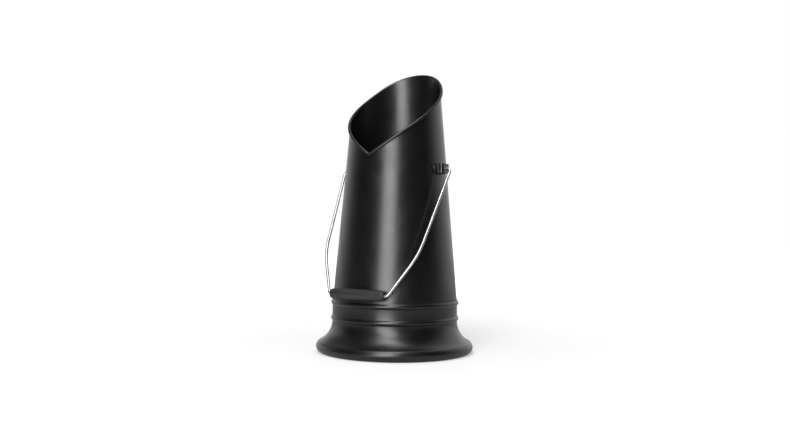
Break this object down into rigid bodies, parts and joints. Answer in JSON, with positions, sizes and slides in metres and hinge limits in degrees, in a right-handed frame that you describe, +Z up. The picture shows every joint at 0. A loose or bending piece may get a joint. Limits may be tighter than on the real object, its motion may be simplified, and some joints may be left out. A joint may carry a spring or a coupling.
{
  "type": "pellet storage bin",
  "caption": "Tall tapered sheet steel hod for stove pellets, with a slanting mouth that dips to a pouring point, a beaded flared base and a swinging wire bail with a turned grip.",
  "frame": {"origin": "centre of the foot ring on the surface that the bin stands on", "axes": "+Z up along the body's axis, -Y towards the mouth's low pouring point, +X to the right as seen from the front, along the bail's pivot line"},
  "size_m": [0.28, 0.28, 0.5076],
  "materials": {
    "black_painted_steel": "satin black baked paint on sheet steel",
    "plain_steel_wire": "drawn steel wire",
    "bright_plated_wire": "bright zinc plating",
    "black_turned_wood": "satin black stain on turned wood"
  },
  "bodies": {
    "hod": {"body_shell": "black_painted_steel", "mouth_rim_wire": "plain_steel_wire", "base_skirt": "black_painted_steel", "floor_pan": "black_painted_steel", "right_ear": "black_painted_steel", "left_ear": "black_painted_steel", "right_ear_rivets": "black_painted_steel", "left_ear_rivets": "black_painted_steel"},
    "bail": {"bail_wire": "bright_plated_wire"},
    "grip": {"bail_grip": "black_turned_wood"}
  },
  "joints": [
    {"name": "bail_swing", "type": "hinge", "parent": "hod", "child": "bail", "pos_m": [0, 0, 0.32499], "axis": [-1, 0, 0], "range_deg": [0, 301.5]},
    {"name": "grip_spin", "type": "hinge", "parent": "bail", "child": "grip", "pos_m": [0, -0.11976, 0.10828], "axis": [1, 0, 0], "continuous": true}
  ]
}
